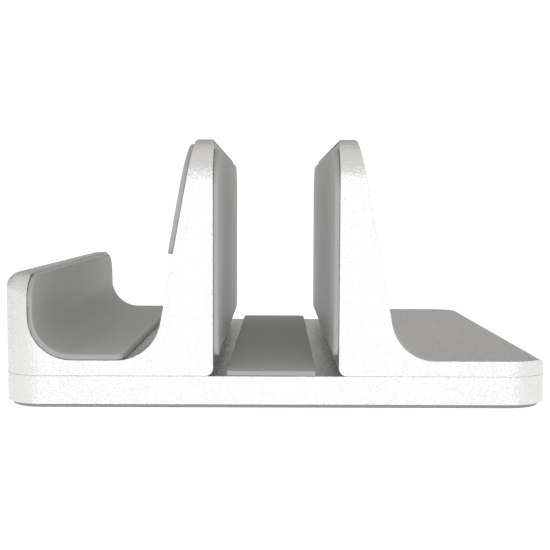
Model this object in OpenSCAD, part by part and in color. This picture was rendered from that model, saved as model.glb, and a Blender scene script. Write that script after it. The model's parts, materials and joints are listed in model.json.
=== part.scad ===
// Upright stand for a closed laptop, with a cradle beside it for a tablet or a phone.
// A base plate carries two aluminium brackets that slide towards each other.
// Four socket screws, reached from below, clamp them where they are set.
// The front is at -Y, the cradle bracket at -X and the side bracket at +X.

/* [Overall] */
// Width over both brackets, set fully apart
stand_w = 160; // [134:1:200]
// Depth from front to back
stand_d = 142; // [120:1:180]
// Height from the table to the top of the towers
stand_h = 78; // [64:1:96]
// Corner radius of the base plate and the brackets, seen from above
corner_r = 12; // [8:0.5:15]

/* [Base] */
// Thickness of the base plate
base_t = 8.25; // [6.75:0.25:12]
// Thickness of the rubber pad that the base plate stands on
foot_t = 1.1; // [0.8:0.1:3]
// Distance from the base plate's edge to the foot pad's edge
foot_inset = 1.5; // [1:0.5:6]

/* [Brackets] */
// Slot between the two bare brackets, set fully apart
slot_open = 36.2; // [32:0.2:46]
// Thickness of a bracket's floor
floor_t = 4.5; // [3.5:0.25:8]
// Thickness of a tower at its top
tower_top_t = 5.4; // [4:0.2:8]
// Thickness of a tower where its slope meets the floor
tower_root_t = 17.2; // [14:0.2:22]
// Radius of the hollows where the walls run into the floor
fillet_r = 12.8; // [6:0.2:16]
// Radius of the towers' top corners, seen from the side
crown_r = 13; // [6:0.5:16]
// Round along the top edges of a tower
tower_edge_r = 1.2; // [0.4:0.1:1.8]
// Round along a bracket's lower inner edge
toe_r = 2.25; // [0.5:0.25:3]
// Round along the outer top edge of the side bracket's floor
foot_edge_r = 4; // [1:0.25:6]

/* [Cradle lip] */
// Thickness of the cradle's lip
lip_t = 8.4; // [6:0.2:10]
// Height of the lip's top above the base plate
lip_h = 29.5; // [22:0.5:40]
// Round along the lip's outer top edge
lip_outer_r = 5; // [0.5:0.25:5.5]
// Round along the lip's inner top edge
lip_inner_r = 1; // [0.3:0.1:2]
// Radius of the lip's top corners, seen from the side
lip_corner_r = 10; // [6:0.5:16]

/* [Pads] */
// Thickness of the adhesive film behind each pad
film_t = 0.15; // [0.1:0.05:0.3]
// Distance from a pad's edge back to the edge of its film
film_inset = 0.3; // [0.2:0.1:1.5]
// Thickness of the silicone pads on the slot's walls
wall_pad_t = 1.45; // [1:0.05:2.5]
// Thickness of the silicone liner in the cradle
liner_t = 1.55; // [1:0.05:2.5]
// Thickness of the silicone pad on the tower's cradle side
back_pad_t = 1.3; // [1:0.05:2.5]
// Thickness of the silicone strip on the slot's floor
strip_t = 1.45; // [1:0.05:2.5]
// Distance from a pad's front and back edges to the metal's
pad_inset = 0.2; // [0.1:0.1:3]
// Distance from the top edge of a slot wall's pad to the tower's top
pad_top_gap = 2.8; // [1.2:0.1:4]
// Distance from a slot wall's pad to the level of the bracket's floor
pad_low_gap = 1.25; // [0.5:0.25:4]
// Corner radius at the lower corners of the wall pads
pad_corner_r = 2.5; // [1.5:0.25:5]
// Height of the cradle side pad's lower edge above the bracket's floor
back_pad_low = 30.5; // [22:0.5:40]
// Distance from the cradle side pad's top edge to the tower's top
back_pad_top_gap = 1.4; // [1.2:0.1:4]
// Distance from the liner's top edge to the lip's top
liner_top_gap = 0.8; // [0.8:0.1:3]
// Distance from the liner's back edge to the metal's
liner_back_gap = 5; // [0.5:0.5:12]
// How far the liner runs past the start of the hollow at the tower
liner_run_on = 2.2; // [0:0.1:3]
// Width of the slot's floor strip
strip_w = 25.65; // [20:0.25:28]
// Distance of the strip's centre from the slot's centre
strip_shift = -0.9; // [-2:0.1:2]
// Angle by which the strip is laid askew
strip_skew = -0.4; // [-0.6:0.1:0.6]
// Cut at each back corner of the strip
strip_chamfer = 1.5; // [0.5:0.25:3]

/* [Clamp screws] */
// Thread diameter of a clamp screw
screw_d = 4; // [3:0.5:4]
// Length of a clamp screw under its head
screw_len = 12; // [10:1:16]
// Diameter of a clamp screw's head
head_d = 7; // [5.5:0.5:8]
// Height of a clamp screw's head
head_h = 4; // [3:0.25:4]
// Key size of the head's socket, across its flats
socket_af = 3; // [2:0.5:3]
// Outer diameter of a flat washer
washer_d = 9; // [7:0.5:10]
// Thickness of a flat washer
washer_t = 0.8; // [0.5:0.1:1]
// Outer diameter of a spring lock washer
lock_d = 7.6; // [6:0.1:8]
// Thickness of a flattened spring lock washer
lock_t = 0.9; // [0.6:0.1:1]
// Distance of each screw from the middle of the depth
screw_y = 46; // [36:1:50]

/* [Clearances] */
// Depth of the screw heads inside the base plate
head_sink = 0.2; // [0.1:0.1:0.5]
// Radial gap between a screw and its tapped hole
thread_gap = 0.05; // [0.02:0.01:0.1]
// Radial gap between a screw and its washers
washer_gap = 0.1; // [0.05:0.05:0.2]
// Gap between a screw and the sides and ends of its slot
slot_gap = 0.2; // [0.1:0.05:0.5]
// Gap between a washer and the sides and ends of its recess
recess_gap = 0.3; // [0.2:0.05:0.6]
// Gap left between a bracket pushed right in and the strip
stop_gap = 0.3; // [0.2:0.05:1]

/* [Hidden] */
$fn = 96;

// How far a cutting shape reaches past what it cuts
over = 1;
// Steps along each round of an outline with sloping sides
round_steps = 16;
// Drill point angle at the end of a tapped hole, and depth left beyond the screw
drill_angle = 118;
hole_spare = 2;
// Bevel on a screw's head and tip, and the depth of its socket as a share of the head
screw_bevel = 0.4;
socket_share = 0.5;
// Hair's breadth between the sloping side and its film, as the slope's points are rounded
slope_gap = 0.001;
// Gap in a spring lock washer's ring
lock_split = 0.9;
// How much wider the foot pad's windows are than the recesses above them
window_gap = 0.5;

// Levels above the table
base_z = foot_t + film_t;
seat_z = base_z + base_t;
floor_z = seat_z + floor_t;
lip_z = seat_z + lip_h;

// Widths, measured outwards from the middle of the slot on either bracket
slot_half = slot_open / 2;
half_w = stand_w / 2;
lip_x = half_w - lip_t;
root_x = slot_half + tower_root_t;
slope = (tower_root_t - tower_top_t) / (stand_h - floor_z);
slope_up = [-slope, 1] / norm([-slope, 1]);
slope_out = [slope_up[1], -slope_up[0]];

// The two hollows in the cradle share its floor, so that floor limits their radius
// The round at the sloping tower takes up hollow_share of its radius from the floor
hollow_share = (1 - slope_out[1]) / slope_out[0];
hollow_room = (lip_x - root_x) / (1 + hollow_share);
hollow_r = min(fillet_r, hollow_room, lip_h - floor_t - lip_inner_r - over);
root_hollow_x = root_x + hollow_r * hollow_share;
lip_hollow_x = lip_x - hollow_r;

// Rounds that their own wall limits
foot_round = min(foot_edge_r, 0.9 * floor_t);
lip_crown_r = min(lip_corner_r, lip_h - floor_t - over);
lip_outer_round = min(lip_outer_r, lip_t - 2 * lip_inner_r);

// Clamp screws sit in the middle of the towers' roots
screw_x = slot_half + tower_root_t / 2;
recess_h = head_h + lock_t + washer_t + head_sink;
web_z = base_z + recess_h;
head_z = base_z + head_sink;
web_t = base_t - recess_h;
hole_depth = screw_len - lock_t - washer_t - web_t + hole_spare;

// The strip's reach to each side stops the brackets
strip_len = stand_d - 2 * pad_inset;
strip_lean = abs(sin(strip_skew)) * strip_len / 2;
cradle_travel = slot_half - (strip_w / 2 + strip_lean - strip_shift) - stop_gap;
side_travel = slot_half - (strip_w / 2 + strip_lean + strip_shift) - stop_gap;

metal = [0.86, 0.87, 0.88];
silicone = [0.56, 0.57, 0.56];
rubber = [0.5, 0.51, 0.52];
film = [0.9, 0.9, 0.86];
steel = [0.45, 0.46, 0.48];

// ---- Shared shapes -------------------------------------------------------

// Gives a flat shape drawn as X against Z its depth, centred on Y
module along_y(depth) {
    rotate([90, 0, 0]) linear_extrude(depth, center = true) children();
}

// Gives a flat shape drawn as Y against Z its thickness, from x onwards
module across_x(x, t) {
    translate([x, 0, 0]) rotate([90, 0, 90]) linear_extrude(t) children();
}

// What a round of radius r cuts off a square corner at p, where inward points into the shape
module square_corner(p, inward, r) {
    centre = p + inward * r;
    difference() {
        polygon([p - inward * over, [centre[0], p[1]], centre, [p[0], centre[1]]]);
        translate(centre) circle(r);
    }
}

// Points along the round of radius r that replaces the corner p between a and b
function round_at(a, p, b, r) =
    let (
        ua = (a - p) / norm(a - p),
        ub = (b - p) / norm(b - p),
        half_angle = acos(ua * ub) / 2,
        centre = p + (ua + ub) / norm(ua + ub) * r / sin(half_angle),
        first = p + ua * r / tan(half_angle) - centre,
        last = p + ub * r / tan(half_angle) - centre,
        sweep = sign(cross(first, last)) * (180 - 2 * half_angle)
    )
    [
        for (i = [0:round_steps])
            let (t = sweep * i / round_steps)
            centre + [[cos(t), -sin(t)], [sin(t), cos(t)]] * first
    ];

// A closed outline through corners given as [x, z, radius], with each corner rounded
function rounded_outline(corners) = [
    for (i = [0:len(corners) - 1])
        let (
            n = len(corners),
            spot = [corners[i][0], corners[i][1]],
            before = [corners[(i + n - 1) % n][0], corners[(i + n - 1) % n][1]],
            after = [corners[(i + 1) % n][0], corners[(i + 1) % n][1]]
        )
        each corners[i][2] > 0 ? round_at(before, spot, after, corners[i][2]) : [spot]
];

// A rectangle between two corners, with one radius for each of its four corners
module rounded_rect(low, high, r_low_left, r_low_right, r_high_left, r_high_right) {
    difference() {
        translate(low) square(high - low);
        if (r_low_left > 0) square_corner(low, [1, 1], r_low_left);
        if (r_low_right > 0) square_corner([high[0], low[1]], [-1, 1], r_low_right);
        if (r_high_left > 0) square_corner([low[0], high[1]], [1, -1], r_high_left);
        if (r_high_right > 0) square_corner(high, [-1, -1], r_high_right);
    }
}

// The outline seen from the side, up to a top with round corners
module side_outline(inset, bottom, top, r_bottom, r_top) {
    half_d = stand_d / 2 - inset;
    rounded_rect([-half_d, bottom], [half_d, top], r_bottom, r_bottom, r_top, r_top);
}

// A long hole that runs inwards from the origin
module long_hole(r, travel) {
    circle(r);
    translate([-travel, 0]) circle(r);
    translate([-travel, -r]) square([travel, 2 * r]);
}

// Copies at the front and the back screw
module at_both_screws() {
    for (y = [-screw_y, screw_y]) translate([screw_x, y, 0]) children();
}

// The cradle bracket is drawn outwards along +X, like the side bracket, then mirrored
module to_the_left() {
    mirror([1, 0, 0]) children();
}

// ---- Base ----------------------------------------------------------------

module base_outline(inset) {
    r = max(corner_r - inset, over);
    half = [half_w - inset, stand_d / 2 - inset];
    rounded_rect(-half, half, r, r, r, r);
}

// One side's two slots through the base plate, each with its recess below
module clamp_slots(travel) {
    at_both_screws() {
        translate([0, 0, base_z]) linear_extrude(base_t + over) {
            long_hole(screw_d / 2 + slot_gap, travel);
        }
        translate([0, 0, base_z - over]) linear_extrude(recess_h + over) {
            long_hole(washer_d / 2 + recess_gap, travel);
        }
    }
}

module base_plate() {
    color(metal) difference() {
        translate([0, 0, base_z]) linear_extrude(base_t) base_outline(0);
        clamp_slots(side_travel);
        to_the_left() clamp_slots(cradle_travel);
    }
}

// One side's two windows through the foot pad, made wider by grow
module key_windows(travel, grow) {
    at_both_screws() {
        translate([0, 0, -over]) linear_extrude(base_z + 2 * over) {
            long_hole(washer_d / 2 + recess_gap + window_gap + grow, travel);
        }
    }
}

// One layer under the base plate, with every edge moved back by inset
module foot_layer(z, t, inset) {
    difference() {
        translate([0, 0, z]) linear_extrude(t) base_outline(foot_inset + inset);
        key_windows(side_travel, inset);
        to_the_left() key_windows(cradle_travel, inset);
    }
}

module foot_pad() {
    color(rubber) foot_layer(0, foot_t, 0);
}

module foot_pad_film() {
    color(film) foot_layer(foot_t, film_t, film_inset);
}

// ---- Brackets ------------------------------------------------------------

// A bracket seen from the front, drawn outwards from the slot, with or without a lip
module bracket_profile(lip) {
    tower = [
        [slot_half, seat_z, toe_r], [slot_half, stand_h, tower_edge_r],
        [slot_half + tower_top_t, stand_h, tower_edge_r], [root_x, floor_z, hollow_r]
    ];
    flat_end = [[half_w, floor_z, foot_round]];
    lip_end = [
        [lip_x, floor_z, hollow_r], [lip_x, lip_z, lip_inner_r], [half_w, lip_z, lip_outer_round]
    ];
    polygon(rounded_outline(concat(tower, lip ? lip_end : flat_end, [[half_w, seat_z, 0]])));
}

// The space that a bracket may fill, with its outer corners rounded seen from above
module bracket_plan(inset) {
    r = corner_r - inset;
    low = [slot_half - over, inset - stand_d / 2];
    rounded_rect(low, [half_w - inset, stand_d / 2 - inset], 0, r, 0, r);
}

module tapped_holes() {
    r = screw_d / 2 + thread_gap;
    at_both_screws() translate([0, 0, seat_z]) {
        translate([0, 0, -over]) cylinder(h = hole_depth + over, r = r);
        translate([0, 0, hole_depth]) cylinder(h = r / tan(drill_angle / 2), r1 = r, r2 = 0);
    }
}

module side_bracket() {
    color(metal) difference() {
        intersection() {
            along_y(stand_d) bracket_profile(false);
            linear_extrude(stand_h + over) bracket_plan(0);
            across_x(0, stand_w) side_outline(0, 0, stand_h, 0, crown_r);
        }
        tapped_holes();
    }
}

// The towers and the lip have their crowns at different heights, so each has its own outline
module cradle_bracket() {
    middle_x = (root_hollow_x + lip_hollow_x) / 2;
    color(metal) to_the_left() difference() {
        intersection() {
            along_y(stand_d) bracket_profile(true);
            linear_extrude(stand_h + over) bracket_plan(0);
            union() {
                across_x(0, middle_x) side_outline(0, 0, stand_h, 0, crown_r);
                across_x(middle_x, stand_w) side_outline(0, 0, lip_z, 0, lip_crown_r);
            }
        }
        tapped_holes();
    }
}

// ---- Pads on the slot's walls ---------------------------------------------

// One layer on a slot wall, from off_in to off_out off the metal, with its edges moved back by inset
module wall_layer(off_in, off_out, inset) {
    low = floor_z + pad_low_gap + inset;
    high = stand_h - pad_top_gap - inset;
    edge = pad_inset + inset;
    across_x(slot_half - off_out, off_out - off_in) {
        side_outline(edge, low, high, pad_corner_r - inset, crown_r - edge);
    }
}

module wall_pad() {
    color(silicone) wall_layer(film_t, film_t + wall_pad_t, 0);
}

module wall_film() {
    color(film) wall_layer(0, film_t, film_inset);
}

// ---- Strip on the slot's floor ---------------------------------------------

// One layer of the strip, with its edges moved back by inset
module strip_layer(z, t, inset) {
    half = strip_w / 2 - inset;
    back = strip_len / 2 - inset;
    translate([strip_shift, 0, z]) rotate([0, 0, strip_skew]) linear_extrude(t) polygon([
        [-half, -back], [half, -back], [half, back - strip_chamfer],
        [half - strip_chamfer, back], [strip_chamfer - half, back],
        [-half, back - strip_chamfer]
    ]);
}

module slot_floor_strip() {
    color(silicone) strip_layer(seat_z + film_t, strip_t, 0);
}

module slot_floor_film() {
    color(film) strip_layer(seat_z, film_t, film_inset);
}

// ---- Pads in the cradle ----------------------------------------------------

// The cradle's hollow seen from the front, shrunk by off on every side and open at its top
module cradle_space(off, top) {
    root = [root_x + off * hollow_share, floor_z + off];
    polygon(rounded_outline([
        [lip_x - off, top, 0], [lip_x - off, floor_z + off, hollow_r - off],
        [root[0], root[1], hollow_r - off], [root[0] - slope * (top - root[1]), top, 0]
    ]));
}

// One layer of the liner, from off_in to off_out off the metal, with its edges moved back by inset
module liner_layer(off_in, off_out, inset) {
    edge = pad_inset + inset;
    front_y = edge - stand_d / 2;
    back_y = stand_d / 2 - liner_back_gap - inset;
    top = lip_z - liner_top_gap - inset;
    top_r = lip_crown_r - liner_top_gap - inset;
    back_r = max(corner_r - liner_back_gap - inset, over);
    end_x = root_hollow_x - liner_run_on + inset;
    to_the_left() intersection() {
        along_y(stand_d) difference() {
            cradle_space(off_in, stand_h);
            cradle_space(off_out, stand_h + over);
        }
        across_x(0, stand_w) rounded_rect([front_y, 0], [back_y, top], 0, 0, top_r, top_r);
        linear_extrude(stand_h) rounded_rect(
            [end_x, front_y], [half_w - edge, back_y],
            pad_corner_r - inset, corner_r - edge, pad_corner_r - inset, back_r
        );
    }
}

module cradle_liner() {
    color(silicone) liner_layer(film_t, film_t + liner_t, 0);
}

module cradle_liner_film() {
    color(film) liner_layer(0, film_t, film_inset);
}

// A band along the tower's sloping side, from off_in to off_out millimetres off the metal
module slope_band(off_in, off_out) {
    foot = [root_x, floor_z];
    head = foot + slope_up * (stand_h - floor_z) / slope_up[1];
    polygon([
        foot + slope_out * off_in, head + slope_out * off_in,
        head + slope_out * off_out, foot + slope_out * off_out
    ]);
}

// One layer on the tower's cradle side, with its edges moved back by inset
module back_layer(off_in, off_out, inset) {
    low = floor_z + back_pad_low + inset;
    high = stand_h - back_pad_top_gap - inset;
    edge = pad_inset + inset;
    to_the_left() intersection() {
        along_y(stand_d) slope_band(off_in, off_out);
        across_x(0, stand_w) {
            side_outline(edge, low, high, pad_corner_r - inset, crown_r - edge);
        }
    }
}

module cradle_back_pad() {
    color(silicone) back_layer(film_t, film_t + back_pad_t, 0);
}

module cradle_back_film() {
    color(film) back_layer(slope_gap, film_t, film_inset);
}

// ---- Clamp screws and washers ----------------------------------------------

// One screw, head down, with its hexagon socket open to below
module clamp_screw(x, y) {
    head_top = head_z + head_h;
    color(steel) translate([x, y, 0]) difference() {
        union() {
            translate([0, 0, head_z]) {
                cylinder(h = screw_bevel, r1 = head_d / 2 - screw_bevel, r2 = head_d / 2);
            }
            translate([0, 0, head_z + screw_bevel]) cylinder(h = head_h - screw_bevel, d = head_d);
            translate([0, 0, head_top]) cylinder(h = screw_len - screw_bevel, d = screw_d);
            translate([0, 0, head_top + screw_len - screw_bevel]) {
                cylinder(h = screw_bevel, r1 = screw_d / 2, r2 = screw_d / 2 - screw_bevel);
            }
        }
        translate([0, 0, head_z - over]) {
            cylinder(h = socket_share * head_h + over, d = socket_af / cos(30), $fn = 6);
        }
    }
}

// One flat washer, clamped against the base plate's web
module flat_washer(x, y) {
    color(steel) translate([x, y, web_z - washer_t]) difference() {
        cylinder(h = washer_t, d = washer_d);
        translate([0, 0, -over]) cylinder(h = washer_t + 2 * over, r = screw_d / 2 + washer_gap);
    }
}

// One split spring washer, pressed flat between the screw's head and the flat washer
module lock_washer(x, y) {
    color(steel) translate([x, y, web_z - washer_t - lock_t]) difference() {
        cylinder(h = lock_t, d = lock_d);
        translate([0, 0, -over]) cylinder(h = lock_t + 2 * over, r = screw_d / 2 + washer_gap);
        translate([0, -lock_split / 2, -over]) cube([lock_d, lock_split, lock_t + 2 * over]);
    }
}

// ---- Nodes -----------------------------------------------------------------

base_plate();
foot_pad();
foot_pad_film();
cradle_bracket();
side_bracket();
cradle_liner();
cradle_liner_film();
cradle_back_pad();
cradle_back_film();
to_the_left() wall_pad();  // left_slot_pad
to_the_left() wall_film();  // left_slot_film
wall_pad();  // right_slot_pad
wall_film();  // right_slot_film
slot_floor_strip();
slot_floor_film();
clamp_screw(-screw_x, -screw_y);  // cradle_front_screw
clamp_screw(-screw_x, screw_y);  // cradle_rear_screw
clamp_screw(screw_x, -screw_y);  // side_front_screw
clamp_screw(screw_x, screw_y);  // side_rear_screw
flat_washer(-screw_x, -screw_y);  // cradle_front_washer
flat_washer(-screw_x, screw_y);  // cradle_rear_washer
flat_washer(screw_x, -screw_y);  // side_front_washer
flat_washer(screw_x, screw_y);  // side_rear_washer
lock_washer(-screw_x, -screw_y);  // cradle_front_lock_washer
lock_washer(-screw_x, screw_y);  // cradle_rear_lock_washer
lock_washer(screw_x, -screw_y);  // side_front_lock_washer
lock_washer(screw_x, screw_y);  // side_rear_lock_washer
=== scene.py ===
# %% [markdown]
# # An aluminium stand for upright laptops
#
# This lesson dresses a finished engineering model of a desk stand. The model
# already has every part at its true size: a base plate, two aluminium brackets
# that slide on it, silicone pads, and the screws underneath.
#
# The lesson adds what an engineering model leaves out. Real metal has no
# perfectly sharp edge, so each machined part gets a rounded skin that catches
# the light. The pads get soft moulded edges, the screws get their knurl and
# hexagon sockets, and each surface gets a material made from procedural nodes.

# %% Load the frame
import json
import math

import bmesh
import bpy
from mathutils import Matrix, Vector
from mathutils.bvhtree import BVHTree


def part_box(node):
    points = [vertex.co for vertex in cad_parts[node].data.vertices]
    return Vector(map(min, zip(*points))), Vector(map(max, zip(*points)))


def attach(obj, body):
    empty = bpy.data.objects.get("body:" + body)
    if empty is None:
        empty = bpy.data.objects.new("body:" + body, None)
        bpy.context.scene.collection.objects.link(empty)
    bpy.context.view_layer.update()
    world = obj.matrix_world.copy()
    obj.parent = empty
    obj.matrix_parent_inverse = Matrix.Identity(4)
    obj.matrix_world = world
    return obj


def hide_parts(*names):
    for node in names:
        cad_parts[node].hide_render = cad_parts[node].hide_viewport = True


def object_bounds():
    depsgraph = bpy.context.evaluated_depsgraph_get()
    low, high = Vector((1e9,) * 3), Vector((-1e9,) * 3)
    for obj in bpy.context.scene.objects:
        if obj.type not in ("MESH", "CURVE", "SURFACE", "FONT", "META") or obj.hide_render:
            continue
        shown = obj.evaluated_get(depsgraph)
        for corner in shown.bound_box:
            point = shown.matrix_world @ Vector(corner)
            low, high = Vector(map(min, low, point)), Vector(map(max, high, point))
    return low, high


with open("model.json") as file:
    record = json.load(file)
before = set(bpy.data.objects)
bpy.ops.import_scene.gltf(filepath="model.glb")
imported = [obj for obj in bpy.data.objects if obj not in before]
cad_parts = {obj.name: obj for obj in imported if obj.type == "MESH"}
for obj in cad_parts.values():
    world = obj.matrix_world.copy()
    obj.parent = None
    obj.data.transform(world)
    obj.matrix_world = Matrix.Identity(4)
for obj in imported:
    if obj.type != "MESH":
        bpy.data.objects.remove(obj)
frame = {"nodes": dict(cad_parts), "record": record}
cad_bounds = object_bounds()
MM = 0.001
print("CAD box in mm:", [[round(v / MM, 2) for v in corner] for corner in cad_bounds])

# %% [markdown]
# ## Two helpers for every material
#
# Paint charts and screens give colours as sRGB hex values, but the shader
# works in linear light. One function turns the first into the second. The
# other adds a node to a material, sets its sockets and links them, so that
# each recipe below reads as a short list of steps.


# %% Colour and node helpers
def linear(hex_colour):
    """An sRGB hex value, such as "#c8c9cb", as a linear colour with alpha."""
    channels = [int(hex_colour[i : i + 2], 16) / 255 for i in (1, 3, 5)]
    return [c / 12.92 if c <= 0.04045 else ((c + 0.055) / 1.055) ** 2.4 for c in channels] + [1.0]


def add_node(material, kind, inputs=(), **settings):
    """Adds a node. A socket's value is either plain or another node's output socket."""
    node = material.node_tree.nodes.new(kind)
    for name, value in settings.items():
        setattr(node, name, value)
    for name, value in dict(inputs).items():
        if isinstance(value, bpy.types.NodeSocket):
            material.node_tree.links.new(value, node.inputs[name])
        else:
            node.inputs[name].default_value = value
    return node


def new_material(name, **surface):
    """A material with a Principled surface, whose constant sockets are given by name."""
    material = bpy.data.materials.new(name)
    material.use_nodes = True
    shader = material.node_tree.nodes["Principled BSDF"]
    for socket, value in surface.items():
        shader.inputs[socket.replace("_", " ")].default_value = value
    place = add_node(material, "ShaderNodeTexCoord").outputs["Object"]
    return material, shader, place


def per_metre(size_mm):
    """The texture scale at which one grain of a pattern measures size_mm."""
    return 1 / (size_mm * MM)


print("white is", [round(c, 3) for c in linear("#ffffff")])

# %% [markdown]
# ## Bead-blasted, clear anodised aluminium
#
# The brackets and the base plate are cut from aluminium, blasted with glass
# beads and anodised without dye. Each bead leaves a shallow dimple, so the
# metal has no mirror image. It gives a soft, silvery sheen, and wherever the
# sheen changes from light to dark, single dimples catch the light and the
# surface sparkles.
#
# Real dimples are about 0.1 mm wide, too fine to show here. They are drawn
# 0.5 mm wide, with a second, coarser layer that stands for the uneven overlap
# of the dimples. The base colour keeps the slight warmth of clear anodising.

# %% Aluminium
aluminium, shader, place = new_material("aluminium_bead_blasted_clear_anodised", Metallic=1.0)
dimples = add_node(aluminium, "ShaderNodeTexNoise", {
    "Vector": place, "Scale": per_metre(0.5), "Detail": 2.0, "Roughness": 0.6})
overlap = add_node(aluminium, "ShaderNodeTexNoise", {
    "Vector": place, "Scale": per_metre(1.3), "Detail": 3.0, "Roughness": 0.6})
batch = add_node(aluminium, "ShaderNodeTexNoise", {
    "Vector": place, "Scale": per_metre(35), "Detail": 2.0})
tone = add_node(aluminium, "ShaderNodeMix", {
    "Factor": batch.outputs["Fac"], "A": linear("#dcdcdc"), "B": linear("#e6e5e3")},
    data_type="RGBA")
sheen = add_node(aluminium, "ShaderNodeMapRange", {
    "Value": overlap.outputs["Fac"], "From Min": 0.3, "From Max": 0.7,
    "To Min": 0.21, "To Max": 0.30})
coarse = add_node(aluminium, "ShaderNodeBump", {
    "Height": overlap.outputs["Fac"], "Strength": 1.0, "Distance": 0.14 * MM})
fine = add_node(aluminium, "ShaderNodeBump", {
    "Height": dimples.outputs["Fac"], "Normal": coarse.outputs["Normal"],
    "Strength": 1.0, "Distance": 0.21 * MM})
links = aluminium.node_tree.links
links.new(tone.outputs["Result"], shader.inputs["Base Color"])
links.new(sheen.outputs["Result"], shader.inputs["Roughness"])
links.new(fine.outputs["Normal"], shader.inputs["Normal"])
print("made", aluminium.name)

# %% [markdown]
# ## Moulded silicone
#
# The pads are moulded from grey silicone in a finely eroded steel tool. It is
# matt when seen square on and silky at a flat angle, where its fine grain and
# the dust in it scatter a pale sheen. Dust and handling leave broad, faint
# differences in tone, which keep a large pad from looking like flat paint.
# The real grain is a few hundredths of a millimetre, and is drawn 0.4 mm wide.

# %% Silicone
silicone, shader, place = new_material(
    "silicone_moulded_matt_grey", IOR=1.43, Sheen_Weight=0.25, Sheen_Roughness=0.35)
grain = add_node(silicone, "ShaderNodeTexNoise", {
    "Vector": place, "Scale": per_metre(0.4), "Detail": 2.0, "Roughness": 0.55})
cloud = add_node(silicone, "ShaderNodeTexNoise", {
    "Vector": place, "Scale": per_metre(18), "Detail": 3.0, "Roughness": 0.55})
tone = add_node(silicone, "ShaderNodeMix", {
    "Factor": cloud.outputs["Fac"], "A": linear("#9c9f9c"), "B": linear("#a6a8a5")},
    data_type="RGBA")
silk = add_node(silicone, "ShaderNodeMapRange", {
    "Value": cloud.outputs["Fac"], "From Min": 0.3, "From Max": 0.7,
    "To Min": 0.44, "To Max": 0.54})
bump = add_node(silicone, "ShaderNodeBump", {
    "Height": grain.outputs["Fac"], "Strength": 0.3, "Distance": 0.02 * MM})
links = silicone.node_tree.links
links.new(tone.outputs["Result"], shader.inputs["Base Color"])
links.new(silk.outputs["Result"], shader.inputs["Roughness"])
links.new(bump.outputs["Normal"], shader.inputs["Normal"])
print("made", silicone.name)

# %% [markdown]
# ## Pebbled rubber sheet
#
# The foot pad is cut from rubber sheet with a fine pebble that grips the
# table. A cell pattern gives the pebble: it is high in the middle of each cell,
# and its colour is darker in the grooves between them, a painted shade.

# %% Foot rubber
rubber, shader, place = new_material("rubber_sheet_pebbled_grey", IOR=1.52, Roughness=0.75)
pebble = add_node(rubber, "ShaderNodeTexVoronoi", {
    "Vector": place, "Scale": per_metre(0.9)}, feature="SMOOTH_F1")
# Painted shade: the colour darkens towards the grooves between the pebbles.
tone = add_node(rubber, "ShaderNodeMix", {
    "Factor": pebble.outputs["Distance"], "A": linear("#8f9494"), "B": linear("#7d8283")},
    data_type="RGBA")
bump = add_node(rubber, "ShaderNodeBump", {
    "Height": pebble.outputs["Distance"], "Strength": 0.6, "Distance": 0.06 * MM},
    invert=True)
links = rubber.node_tree.links
links.new(tone.outputs["Result"], shader.inputs["Base Color"])
links.new(bump.outputs["Normal"], shader.inputs["Normal"])
print("made", rubber.name)

# %% [markdown]
# ## Adhesive film
#
# The film behind each pad is a clear acrylic. Only its edge is seen, as a thin
# line that is darker than the pad. Its dark grey colour is painted shade for the
# gap, where little light gets in. It passes some light, and is duller in some
# places than in others.

# %% Adhesive film
film, shader, place = new_material("acrylic_adhesive_film_clear", IOR=1.47, Transmission_Weight=0.35)
ripple = add_node(film, "ShaderNodeTexNoise", {"Vector": place, "Scale": per_metre(2.5), "Detail": 2.0})
haze = add_node(film, "ShaderNodeMapRange", {
    "Value": ripple.outputs["Fac"], "To Min": 0.25, "To Max": 0.5})
# Painted shade: the film's grey is darker than the pad's to stand for the shaded gap.
tone = add_node(film, "ShaderNodeMix", {
    "Factor": ripple.outputs["Fac"], "A": linear("#6e6f6b"), "B": linear("#83847e")},
    data_type="RGBA")
links = film.node_tree.links
links.new(haze.outputs["Result"], shader.inputs["Roughness"])
links.new(tone.outputs["Result"], shader.inputs["Base Color"])
print("made", film.name)

# %% [markdown]
# ## Blackened and zinc-plated steel
#
# The screws are blackened in a hot salt bath, which leaves a dark satin skin
# whose tone varies a little. The washers are zinc plated: bright, faintly blue
# and slightly clouded. The real variation is finer than the screws' heads can
# show, so it is drawn 0.6 mm wide on the screws and 1.2 mm on the washers.

# %% Screw steel
black_steel, shader, place = new_material("steel_hot_blackened_satin", Metallic=1.0)
salt = add_node(black_steel, "ShaderNodeTexNoise", {
    "Vector": place, "Scale": per_metre(0.6), "Detail": 3.0, "Roughness": 0.65})
tone = add_node(black_steel, "ShaderNodeMix", {
    "Factor": salt.outputs["Fac"], "A": linear("#2b2c2e"), "B": linear("#414245")},
    data_type="RGBA")
satin = add_node(black_steel, "ShaderNodeMapRange", {
    "Value": salt.outputs["Fac"], "To Min": 0.3, "To Max": 0.5})
bump = add_node(black_steel, "ShaderNodeBump", {
    "Height": salt.outputs["Fac"], "Strength": 0.25, "Distance": 0.01 * MM})
links = black_steel.node_tree.links
links.new(tone.outputs["Result"], shader.inputs["Base Color"])
links.new(satin.outputs["Result"], shader.inputs["Roughness"])
links.new(bump.outputs["Normal"], shader.inputs["Normal"])
print("made", black_steel.name)

# %% Washer steel
zinc, shader, place = new_material("steel_zinc_plated_clouded", Metallic=1.0)
bloom = add_node(zinc, "ShaderNodeTexNoise", {
    "Vector": place, "Scale": per_metre(1.2), "Detail": 4.0, "Roughness": 0.6})
tone = add_node(zinc, "ShaderNodeMix", {
    "Factor": bloom.outputs["Fac"], "A": linear("#a9adb3"), "B": linear("#c3c5c6")},
    data_type="RGBA")
satin = add_node(zinc, "ShaderNodeMapRange", {
    "Value": bloom.outputs["Fac"], "To Min": 0.22, "To Max": 0.42})
links = zinc.node_tree.links
links.new(tone.outputs["Result"], shader.inputs["Base Color"])
links.new(satin.outputs["Result"], shader.inputs["Roughness"])
print("made", zinc.name)
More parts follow.
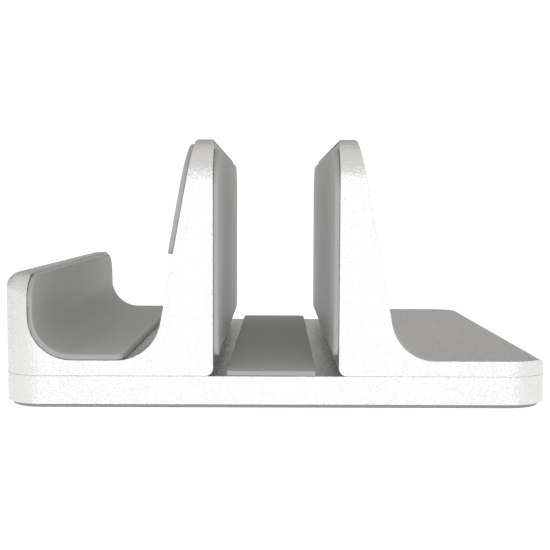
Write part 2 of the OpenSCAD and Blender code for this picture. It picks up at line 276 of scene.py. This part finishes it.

# %% [markdown]
# ## Turning a shape into a finished piece
#
# A finished piece is a mesh object at the origin, smooth on its rounds and
# crisp at its corners. Its normals are weighted by area, so that the small
# rounds bend the light and the broad faces beside them stay flat. It rides on
# the body that its engineering part belongs to and takes that part's finish,
# and the part it stands for is hidden.

# %% Finish helper
part_body = {n: b for b, members in frame["record"]["behaviour"]["bodies"].items() for n in members}
part_slot = {s["node"]: s["material_slot"] for s in frame["record"]["subparts"]}
finish_of = {
    "anodised_aluminium": aluminium, "grey_silicone": silicone, "foot_rubber": rubber,
    "adhesive_film": film, "screw_steel": black_steel, "washer_steel": zinc,
}
CRISP_DEG = 35  # an edge that turns more than this stays crisp


def finish_piece(bm, name, part):
    """Makes a bmesh in metres the visible piece that stands for a CAD part."""
    mesh = bpy.data.meshes.new(name)
    bm.to_mesh(mesh)
    bm.free()
    mesh.shade_smooth()
    mesh.set_sharp_from_angle(angle=math.radians(CRISP_DEG))
    mesh.materials.append(finish_of[part_slot[part]])
    piece = bpy.data.objects.new(name, mesh)
    bpy.context.scene.collection.objects.link(piece)
    weigh = piece.modifiers.new("broad_faces_stay_flat", "WEIGHTED_NORMAL")
    weigh.keep_sharp = True
    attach(piece, part_body[part])
    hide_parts(part)


def open_edges(bm):
    """How many edges don't join exactly two faces. A closed piece has none."""
    return sum(not e.is_manifold for e in bm.edges)


print("parts to dress:", len(part_slot), "finishes:", len(finish_of))

# %% [markdown]
# ## Machined and moulded skins
#
# The metal parts were sawn, milled and tumbled before blasting, which broke
# every sharp edge by a few tenths of a millimetre. That small round matters:
# it draws the bright line along a tower's edge, and where two parts meet, two
# rounds make the fine dark seam. The pads were moulded with a similar round.
#
# The skin could be modelled again from its sections, but the brackets are cut
# by rounds from three sides, and their edges would have to be found again. So
# a copy of the engineering mesh is used: its doubled points are merged, its
# flat triangles are dissolved into whole faces, and only then are the sharp
# edges bevelled.

# %% Merging and rounding
SAME_POINT = 0.001  # points of the engineering mesh this close are one, in mm
FLAT_DEG = 0.2  # faces that differ by less are one flat face
CORNER_DEG = 28  # an edge that turns more than this is a sharp one
ROUND_STEPS = 3


def merged_copy(part):
    """A CAD part as one closed bmesh with whole faces instead of triangles."""
    bm = bmesh.new()
    bm.from_mesh(frame["nodes"][part].data)
    bmesh.ops.remove_doubles(bm, verts=bm.verts, dist=SAME_POINT * MM)
    bmesh.ops.dissolve_limit(
        bm, angle_limit=math.radians(FLAT_DEG), verts=bm.verts, edges=bm.edges)
    return bm


def sharp_edges(bm):
    """The edges that a round belongs on."""
    return [e for e in bm.edges if e.calc_face_angle(0) > math.radians(CORNER_DEG)]


def round_edges(bm, edges, radius_mm, steps):
    """Bevels the edges into rounds."""
    bmesh.ops.bevel(
        bm, geom=edges, offset=radius_mm * MM, offset_type="OFFSET", affect="EDGES",
        segments=steps, profile=0.5, material=-1, clamp_overlap=False)


print("an edge is rounded in", ROUND_STEPS, "steps where it turns more than", CORNER_DEG, "degrees")

# %% [markdown]
# ## The soft outer corners of the cradle's lip
#
# At each end of the lip three rounds run into each other: the one down its
# outer corner, the one over its top corner and the one along its top edge.
# The engineering model lets them meet in a crease. On the real stand the
# crease is ground away, as if a ball had rolled over it.
#
# A bevel can't follow this crease, because its sides are made of narrow
# strips. So the corner is ground as a craftsperson would, with a fan of flat
# cuts: each touches the shape that the rolling ball leaves, and takes off
# only what stands proud of it.

# %% Where the rolling ball reaches
LIP_TOP = 39.0  # height of the lip
LIP_CROWN_R = 10.0  # round over the lip's two top corners
PLAN_R = 12.0  # round down the lip's two outer corners
BALL_R = 5.0
ROLL_STEPS = 40  # places at which the ball's path is tried
half_w, half_d = cad_bounds[1][0] / MM, cad_bounds[1][1] / MM


def ball_reach(out, along, up):
    """How far the lip's end reaches in a direction, once the ball has rolled over it."""
    reach = 0
    for step in range(ROLL_STEPS + 1):
        y = half_d - BALL_R - (PLAN_R - BALL_R) * step / ROLL_STEPS
        from_plan = y - (half_d - PLAN_R)
        from_crown = max(0, y - (half_d - LIP_CROWN_R))
        x = half_w - PLAN_R + math.sqrt(max(0, (PLAN_R - BALL_R) ** 2 - from_plan ** 2))
        z = LIP_TOP - LIP_CROWN_R + math.sqrt((LIP_CROWN_R - BALL_R) ** 2 - from_crown ** 2)
        reach = max(reach, out * x + along * y + up * z)
    return reach + BALL_R


print("sideways the ball reaches", round(ball_reach(1, 0, 0), 3), "mm, of", round(half_w, 3))

# %% Grinding a corner
CUT_STEP_DEG = 11.25
CUT_ANGLES = [math.radians(CUT_STEP_DEG * k) for k in range(1, round(90 / CUT_STEP_DEG))]
PAST_ROUND = 6.0  # how far past the plan round the cuts may reach, in mm
HAIR = 1e-7  # metres, the width within which a point counts as on a plane


def grind_lip_corner(bm, end):
    """Cuts one end of the lip, the front for -1 and the back for 1."""
    border = -(half_w - PLAN_R - PAST_ROUND) * MM
    bmesh.ops.bisect_plane(
        bm, geom=bm.verts[:] + bm.edges[:] + bm.faces[:], dist=HAIR,
        plane_co=(border, 0, 0), plane_no=(1, 0, 0))
    for turn in CUT_ANGLES:
        for tilt in CUT_ANGLES:
            out, along, up = (
                math.cos(tilt) * math.cos(turn), math.cos(tilt) * math.sin(turn), math.sin(tilt))
            normal = Vector((-out, end * along, up))
            lip = [v for v in bm.verts if v.co.x < border + HAIR]
            for item in bm.edges[:] + bm.faces[:]:
                if all(v.co.x < border + HAIR for v in item.verts):
                    lip.append(item)
            cut = bmesh.ops.bisect_plane(
                bm, geom=lip, dist=HAIR, plane_co=normal * ball_reach(out, along, up) * MM,
                plane_no=normal, clear_outer=True)["geom_cut"]
            rim = [e for e in cut if isinstance(e, bmesh.types.BMEdge) and e.is_boundary]
            if rim:
                bmesh.ops.holes_fill(bm, edges=rim, sides=0)


print("cuts at each end of the lip:", len(CUT_ANGLES) ** 2)

# %% [markdown]
# ## The three metal skins
#
# All three parts go the same way: merge, grind the lip if there is one, and
# break every sharp edge. Tumbling breaks the edges evenly, so one width does
# for all of them. The count of open edges is the test: a closed solid has none.

# %% Metal skins
METAL_BREAK = 0.16

for part in ("cradle_bracket", "side_bracket", "base_plate"):
    bm = merged_copy(part)
    if part == "cradle_bracket":
        grind_lip_corner(bm, -1)
        grind_lip_corner(bm, 1)
    round_edges(bm, sharp_edges(bm), METAL_BREAK, ROUND_STEPS)
    print(part, "faces:", len(bm.faces), "open edges:", open_edges(bm))
    finish_piece(bm, part + "_skin", part)

# %% [markdown]
# ## Pads that stay crisp on their glued side
#
# A pad is rounded where a hand can touch it. Its glued side is cut straight
# through, so its outline meets the metal in a clean line. To tell the two
# apart, each sharp edge looks for the nearest point of the metal behind it:
# an edge on the glued side finds it just beyond the film.

# %% Moulded pads
PAD_ROUND = 0.35
GLUE_REACH = 0.25  # a glued edge finds the metal within this distance


def pad_sheet(part, host, name):
    """A pad with rounds on every edge but those that lie against its host."""
    metal = frame["nodes"][host].data
    surface = BVHTree.FromPolygons(
        [v.co for v in metal.vertices], [tuple(f.vertices) for f in metal.polygons])
    bm = merged_copy(part)
    free = []
    for edge in sharp_edges(bm):
        middle = (edge.verts[0].co + edge.verts[1].co) / 2
        if surface.find_nearest(middle)[3] > GLUE_REACH * MM:
            free.append(edge)
    round_edges(bm, free, PAD_ROUND, ROUND_STEPS)
    print(name, "rounded:", len(free), "open edges:", open_edges(bm))
    finish_piece(bm, name, part)


pad_sheet("cradle_liner", "cradle_bracket", "cradle_liner_sheet")
pad_sheet("cradle_back_pad", "cradle_bracket", "cradle_back_sheet")
pad_sheet("left_slot_pad", "cradle_bracket", "left_slot_sheet")
pad_sheet("right_slot_pad", "side_bracket", "right_slot_sheet")
pad_sheet("slot_floor_strip", "base_plate", "slot_floor_sheet")
pad_sheet("foot_pad", "base_plate", "foot_sheet")

# %% [markdown]
# ## Socket screws
#
# The brackets are clamped from below by M4 socket screws. Each has a knurled
# head with a chamfered rim and a hexagon socket, then a plain neck and a
# rolled thread. A lathe would make all but the knurl and the socket, so the
# screw is built as one, from rings that are pulled out of each other from the
# socket's floor to the thread's tip. Along the head every other point of the
# ring sits deeper, which makes the knurl, and in the socket the ring is
# pressed into a hexagon. The thread is drawn as separate ridges, because the
# slope of its 0.7 mm pitch can't be seen.

# %% Rings pulled out of each other
RING_STEPS = 72
SAME_RING_POINT = 0.0001  # points of two rings this close are one, in mm


def pulled_rings(stages, closed=False):
    """A turned solid. Each stage is (a function from angle to radius, height), in mm."""
    bm = bmesh.new()
    ring = bmesh.ops.create_circle(bm, cap_ends=not closed, radius=1.0, segments=RING_STEPS)["verts"]
    edges = bm.edges[:]
    for number, (radius_at, height) in enumerate(stages):
        if number:
            grown = bmesh.ops.extrude_edge_only(bm, edges=edges)["geom"]
            ring = [g for g in grown if isinstance(g, bmesh.types.BMVert)]
            edges = [g for g in grown if isinstance(g, bmesh.types.BMEdge)]
        for vert in ring:
            angle = math.atan2(vert.co.y, vert.co.x)
            spread = radius_at(angle) * MM
            vert.co = (spread * math.cos(angle), spread * math.sin(angle), height * MM)
    if not closed:
        bmesh.ops.contextual_create(bm, geom=edges)
    bmesh.ops.remove_doubles(bm, verts=bm.verts, dist=SAME_RING_POINT * MM)
    bmesh.ops.recalc_face_normals(bm, faces=bm.faces)
    return bm


def even(radius):
    """A round ring."""
    return lambda angle: radius


def knurled(radius, depth):
    """Every other point of the ring sits deeper."""
    return lambda angle: radius - depth * (round(angle * RING_STEPS / math.tau) % 2)


def hexagon(across_flats):
    """The ring pressed into a hexagon."""
    sector = math.tau / 6
    return lambda angle: across_flats / 2 / math.cos((angle + sector / 2) % sector - sector / 2)


print("points in a ring:", RING_STEPS)

# %% The screw's rings
HEAD_R, HEAD_H = 3.5, 4.0
SOCKET_AF, SOCKET_DEEP, SOCKET_LEAD = 3.0, 2.0, 0.15
CHAMFER, BAND_DEEP = 0.4, 0.15  # the plain bands lie this deep beside the knurl
KNURL_DEEP, KNURL_START, KNURL_STOP, BAND_H = 0.14, 0.12, 0.4, 0.25
THREAD_R, PITCH, RIDGE = 2.0, 0.7, 0.38
NECK_H, LAST_RIDGE = 2.0, 0.5
TIP_H, TIP_CHAMFER = 0.2, 0.3
# One ridge, as shares of the pitch and how deep the ring lies there
RIDGE_FORM = ((0.35, RIDGE), (0.5, RIDGE), (0.85, 0.0), (1.0, 0.0))


def screw_stages(low_z, top_z):
    """From the socket's floor, out over the head and up the thread to its tip."""
    under_head = low_z + HEAD_H
    band = even(HEAD_R - BAND_DEEP)
    knurl = knurled(HEAD_R, KNURL_DEEP)
    socket = hexagon(SOCKET_AF)
    stages = [
        (socket, low_z + SOCKET_DEEP), (socket, low_z + SOCKET_LEAD),
        (hexagon(SOCKET_AF + 2 * SOCKET_LEAD), low_z), (even(HEAD_R - CHAMFER - BAND_DEEP), low_z),
        (band, low_z + CHAMFER), (knurl, low_z + CHAMFER + KNURL_START),
        (knurl, under_head - KNURL_STOP), (band, under_head - BAND_H),
        (band, under_head), (even(THREAD_R), under_head), (even(THREAD_R), under_head + NECK_H),
    ]
    z = under_head + NECK_H
    while z + PITCH < top_z - LAST_RIDGE:
        stages += [(even(THREAD_R - deep), z + share * PITCH) for share, deep in RIDGE_FORM]
        z += PITCH
    root = THREAD_R - RIDGE
    return stages + [(even(root), top_z - TIP_H), (even(root - TIP_CHAMFER), top_z)]


print("rings in a screw 12 mm long:", len(screw_stages(0, HEAD_H + 12)))


# %% The four screws
def box_middle(part):
    """The middle and the two corners of a part's box."""
    low_corner, high_corner = (Vector(c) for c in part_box(part))
    return (low_corner + high_corner) / 2, low_corner, high_corner


for part in ("cradle_front_screw", "cradle_rear_screw", "side_front_screw", "side_rear_screw"):
    middle, bottom, top = box_middle(part)
    bm = pulled_rings(screw_stages(bottom.z / MM, top.z / MM))
    bmesh.ops.translate(bm, verts=bm.verts, vec=(middle.x, middle.y, 0))
    print(part, "faces:", len(bm.faces), "open edges:", open_edges(bm))
    finish_piece(bm, part + "_knurled", part)

# %% [markdown]
# ## Washers
#
# A flat washer is punched from sheet, which rolls its rim over on one side.
# The lock washer beside it is a coil of square wire cut through at one place
# and pressed flat by the tight screw. The first is pulled rings again, and
# the second is its wire's section, spun almost all the way round.

# %% Flat washers, punched
WASHER_R, BORE_R = 4.5, 2.1
ROLL, ROLL_SHARE = 0.2, 0.3  # the rolled rim, and how far in its middle ring lies


def punched_washer(end):
    """The flat washer at one end of a bracket. Gives back its middle."""
    hub, bottom, top = box_middle(end + "_washer")
    low_z, high_z = bottom.z / MM, top.z / MM
    bm = pulled_rings([
        (even(BORE_R), low_z), (even(WASHER_R - ROLL), low_z),
        (even(WASHER_R - ROLL_SHARE * ROLL), low_z + ROLL_SHARE * ROLL), (even(WASHER_R), low_z + ROLL),
        (even(WASHER_R), high_z), (even(BORE_R), high_z), (even(BORE_R), low_z),
    ], closed=True)
    bmesh.ops.translate(bm, verts=bm.verts, vec=(hub.x, hub.y, 0))
    print(end, "flat washer, open edges:", open_edges(bm))
    finish_piece(bm, end + "_washer_punched", end + "_washer")
    return hub


# %% Lock washers, split
LOCK_R, LOCK_SPLIT, LOCK_STEPS = 3.8, 0.9, 60
WIRE_BREAK, WIRE_STEPS = 0.12, 2


def split_washer(end, hub):
    """The lock washer: its wire's square section, spun round but for the split."""
    bottom, top = box_middle(end + "_lock_washer")[1:]
    split = 2 * math.asin(LOCK_SPLIT / 2 / LOCK_R)
    stand_up = Matrix.Rotation(math.radians(90), 3, "X")
    half_split = Matrix.Rotation(split / 2, 3, "Z")
    bm = bmesh.new()
    section = bmesh.ops.create_grid(bm, x_segments=1, y_segments=1, size=0.5)["verts"]
    bmesh.ops.scale(bm, verts=section, vec=((LOCK_R - BORE_R) * MM, top.z - bottom.z, 1))
    bmesh.ops.rotate(bm, verts=section, cent=(0, 0, 0), matrix=stand_up)
    bmesh.ops.translate(bm, verts=section, vec=((LOCK_R + BORE_R) / 2 * MM, 0, (top.z + bottom.z) / 2))
    bmesh.ops.rotate(bm, verts=section, cent=(0, 0, 0), matrix=half_split)
    bmesh.ops.spin(
        bm, geom=bm.verts[:] + bm.edges[:] + bm.faces[:], cent=(0, 0, 0), axis=(0, 0, 1),
        angle=math.tau - split, steps=LOCK_STEPS, use_duplicate=False)
    bmesh.ops.recalc_face_normals(bm, faces=bm.faces)
    round_edges(bm, sharp_edges(bm), WIRE_BREAK, WIRE_STEPS)
    bmesh.ops.translate(bm, verts=bm.verts, vec=(hub.x, hub.y, 0))
    print(end, "lock washer, open edges:", open_edges(bm))
    finish_piece(bm, end + "_lock_washer_split", end + "_lock_washer")


# %% A pair of washers for each screw
for end in ("cradle_front", "cradle_rear", "side_front", "side_rear"):
    split_washer(end, punched_washer(end))

# %% [markdown]
# ## Adhesive films
#
# A film is a thin sheet with square edges, cut through by a blade. That is
# what its engineering mesh already is, so the six films keep that mesh and
# only take their finish.

# %% Films keep their CAD shape
films = [part for part, node in frame["nodes"].items() if not node.hide_render]
for part in films:
    frame["nodes"][part].data.materials.clear()
    frame["nodes"][part].data.materials.append(finish_of[part_slot[part]])
print("films:", films)

# %% [markdown]
# ## Floor, light and camera
#
# The stand is shown on a light table in a light tent: white cloth at the
# front and the sides, a little dimmer overhead, and a dim back. Metal shows
# what it reflects, so the tent is what gives each of its faces a tone. Faces
# that look forward reflect the bright front, and the flat tops, seen at a low
# angle, reflect the dim back. The walls of the slot, seen nearly along their
# surface, reflect the table behind the stand. One softbox far behind the
# camera lifts the front faces to white.
#
# The table glows evenly, so that no shadow falls on it. It is clear when seen
# from below, which lets the screws and the foot pad be looked at.

# %% Floor
FLOOR_SIZE = 12.0  # metres
FLOOR_GLOW = 1.14
FLOOR_DROP = 0.1  # keeps the foot pad's underside clear of the floor, in mm
bpy.ops.mesh.primitive_plane_add(size=FLOOR_SIZE)
floor = bpy.context.object
floor.name = "studio_floor"
opal, shader, place = new_material("acrylic_sheet_opal_lit", Roughness=0.9, Specular_IOR_Level=0.0)
shader.inputs["Base Color"].default_value = linear("#000000")
shader.inputs["Emission Color"].default_value = linear("#ffffff")
shader.inputs["Emission Strength"].default_value = FLOOR_GLOW
floor.data.materials.append(opal)
side = add_node(opal, "ShaderNodeNewGeometry").outputs["Backfacing"]
clear = add_node(opal, "ShaderNodeBsdfTransparent").outputs["BSDF"]
glow_or_clear = add_node(opal, "ShaderNodeMixShader", {"Fac": side})
links = opal.node_tree.links
links.new(shader.outputs["BSDF"], glow_or_clear.inputs[1])
links.new(clear, glow_or_clear.inputs[2])
links.new(glow_or_clear.outputs[0], opal.node_tree.nodes["Material Output"].inputs["Surface"])
floor.location.z = -FLOOR_DROP * MM
print("floor:", FLOOR_SIZE, "m across, glowing at", FLOOR_GLOW)

# %% Light tent
TENT_FRONT, TENT_BACK = 0.98, 0.44  # brightness of the cloth
DIM_FROM, DIM_TO = 0.1, 0.95  # how far back a direction points where the cloth starts and ends dimming
TENT_ROOF = 0.84  # overhead, as a share of the rest
ROOF_FROM, ROOF_TO = 0.1, 0.9
BACKDROP = 1.05  # what the camera sees behind the stand
world = bpy.data.worlds.new("light_tent")
bpy.context.scene.world = world
world.use_nodes = True
cloth = world.node_tree.nodes["Background"]
cloth.inputs["Color"].default_value = linear("#fffdfa")
look = add_node(world, "ShaderNodeTexCoord").outputs["Generated"]
axes = add_node(world, "ShaderNodeSeparateXYZ", {"Vector": look})
dimmer = add_node(world, "ShaderNodeMapRange", {
    "Value": axes.outputs["Y"], "From Min": DIM_FROM, "From Max": DIM_TO,
    "To Min": TENT_FRONT, "To Max": TENT_BACK}, interpolation_type="SMOOTHSTEP")
roof = add_node(world, "ShaderNodeMapRange", {
    "Value": axes.outputs["Z"], "From Min": ROOF_FROM, "From Max": ROOF_TO,
    "To Min": 1.0, "To Max": TENT_ROOF})
glow = add_node(world, "ShaderNodeMath", operation="MULTIPLY")
backdrop = add_node(world, "ShaderNodeBackground", {"Color": linear("#ffffff"), "Strength": BACKDROP})
rays = add_node(world, "ShaderNodeLightPath")
choose = add_node(world, "ShaderNodeMixShader", {"Fac": rays.outputs["Is Camera Ray"]})
links = world.node_tree.links
links.new(dimmer.outputs["Result"], glow.inputs[0])
links.new(roof.outputs["Result"], glow.inputs[1])
links.new(glow.outputs[0], cloth.inputs["Strength"])
links.new(cloth.outputs[0], choose.inputs[1])
links.new(backdrop.outputs[0], choose.inputs[2])
links.new(choose.outputs[0], world.node_tree.nodes["World Output"].inputs["Surface"])
print("tent: front", TENT_FRONT, "back", TENT_BACK, "roof", TENT_ROOF)


# %% Softbox
def softbox(name, place_m, aim_m, width, height, brightness, tint):
    """A rectangular light whose cloth is as bright as brightness times white."""
    light = bpy.data.lights.new(name, "AREA")
    light.shape = "RECTANGLE"
    light.size, light.size_y = width, height
    light.energy = math.pi * brightness * width * height
    light.color = linear(tint)[:3]
    holder = bpy.data.objects.new(name, light)
    bpy.context.scene.collection.objects.link(holder)
    holder.location = place_m
    holder.rotation_euler = (Vector(aim_m) - Vector(place_m)).to_track_quat("-Z", "Y").to_euler()
    print(name, "watts:", round(light.energy, 1))


softbox("front_softbox", (0.0, -1.3, 0.085), (0, 0, 0.03), 0.9, 0.25, 3.5, "#e4f0ff")

# %% Camera
EYE_ASIDE = -0.948  # to the left of the middle, in mm
EYE_FROM_FRONT = 270.57
EYE_HEIGHT = 57.94
LENS, SENSOR = 62.18, 36.0
PAN_DEG, DOWN_DEG, LEVEL_DEG = -0.12, 4.058, 0.2
low, high = (Vector(c) for c in cad_bounds)
camera_data = bpy.data.cameras.new("camera")
camera_data.sensor_width = SENSOR
camera_data.lens = LENS
camera = bpy.data.objects.new("camera", camera_data)
bpy.context.scene.collection.objects.link(camera)
eye = Vector((EYE_ASIDE * MM, low.y - EYE_FROM_FRONT * MM, EYE_HEIGHT * MM))
camera.matrix_world = (
    Matrix.Translation(eye)
    @ Matrix.Rotation(math.radians(PAN_DEG), 4, "Z")
    @ Matrix.Rotation(math.radians(90 - DOWN_DEG), 4, "X")
    @ Matrix.Rotation(math.radians(LEVEL_DEG), 4, "Z"))
bpy.context.scene.camera = camera
bpy.context.scene.view_settings.view_transform = "Standard"
print("camera at", [round(v / MM, 1) for v in eye], "mm")
